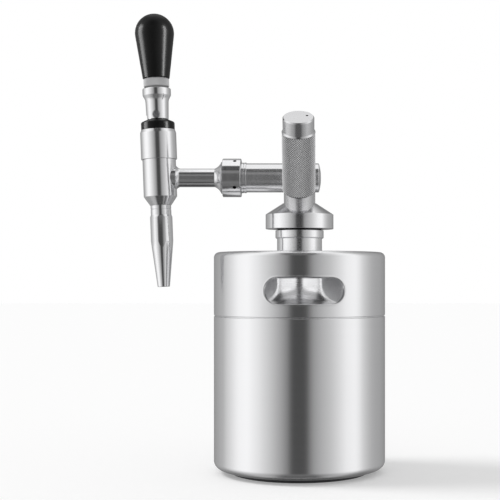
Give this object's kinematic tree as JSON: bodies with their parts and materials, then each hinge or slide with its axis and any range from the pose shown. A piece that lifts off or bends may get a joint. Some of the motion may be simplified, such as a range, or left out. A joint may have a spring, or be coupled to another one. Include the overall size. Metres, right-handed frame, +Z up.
{
  "type": "mini keg beer dispenser",
  "caption": "Steel mini keg with a carrying shroud, a screw-on dispensing head with gas charger holder, and a lever tap with a tapered spout on a side shank.",
  "frame": {"origin": "centre of the foot ring's underside, on the keg axis", "axes": "+Z up along the keg axis, -X towards the tap, -Y towards the front, where the charger holder leans"},
  "size_m": [0.202, 0.1471, 0.3697],
  "materials": {
    "keg_steel": "fine brushed stainless steel",
    "neck_steel": "turned stainless steel",
    "polished_steel": "mirror polished stainless steel",
    "plain_steel": "plain stainless steel",
    "satin_aluminium": "knurled and bare",
    "black_rubber": "matte rubber",
    "black_plastic": "glossy black",
    "insert_brass": "plain brass"
  },
  "bodies": {
    "keg": {"keg_shell": "keg_steel", "base_ring": "black_rubber", "keg_shoulder": "keg_steel", "keg_neck": "neck_steel", "keg_shroud": "keg_steel"},
    "head": {"head_column": "polished_steel", "collar_gasket": "black_rubber", "spigot_rings": "black_rubber", "dip_tube": "plain_steel", "gas_valve": "black_rubber", "inlet_stub": "polished_steel", "inlet_seat": "polished_steel", "piercing_pin": "plain_steel", "inlet_seal": "black_rubber", "cross_tube": "polished_steel", "end_plug": "polished_steel", "shank_washer": "black_rubber", "tail_piece": "polished_steel", "faucet_shank": "polished_steel", "faucet_barrel": "polished_steel", "barrel_sleeve": "polished_steel", "bonnet_ring": "black_plastic", "restrictor_disc": "plain_steel", "spout": "polished_steel", "spout_ring": "black_rubber"},
    "collar": {"keg_collar": "polished_steel"},
    "coupling": {"coupling_nut": "polished_steel"},
    "cartridge": {"gas_cartridge": "plain_steel"},
    "holder": {"charger_holder": "satin_aluminium"},
    "stem": {"valve_stem": "plain_steel", "stem_rings": "black_rubber", "valve_seal": "black_rubber"},
    "lever": {"lever_sleeve": "polished_steel", "pivot_screw": "plain_steel", "lever_stud": "plain_steel", "lock_collar": "satin_aluminium", "handle_insert": "insert_brass", "tap_handle": "black_plastic"}
  },
  "joints": [
    {"name": "head_lift", "type": "slide", "parent": "keg", "child": "head", "axis": [0, 0, 1], "range_m": [0, 0.2]},
    {"name": "collar_turn", "type": "hinge", "parent": "head", "child": "collar", "pos_m": [0, 0, 0.2], "axis": [0, 0, 1], "continuous": true},
    {"name": "coupling_turn", "type": "hinge", "parent": "head", "child": "coupling", "pos_m": [-0.055, 0, 0.2372], "axis": [1, 0, 0], "continuous": true},
    {"name": "charger_pull", "type": "slide", "parent": "head", "child": "cartridge", "axis": [0, -0.5299, 0.848], "range_m": [0, 0.04]},
    {"name": "holder_turn", "type": "hinge", "parent": "cartridge", "child": "holder", "pos_m": [0, -0.0273, 0.2117], "axis": [0, -0.5299, 0.848], "continuous": true},
    {"name": "stem_lift", "type": "slide", "parent": "head", "child": "stem", "axis": [-0.0366, 0, 0.9993], "range_m": [0, 0.0039]},
    {"name": "lever_pull", "type": "hinge", "parent": "stem", "child": "lever", "pos_m": [-0.11485, 0, 0.28767], "axis": [0, -1, 0], "range_deg": [0, 35]}
  ],
  "couplings": [
    {"joint": "stem_lift", "follows": "lever_pull", "m_per_rad": 0.0063}
  ]
}
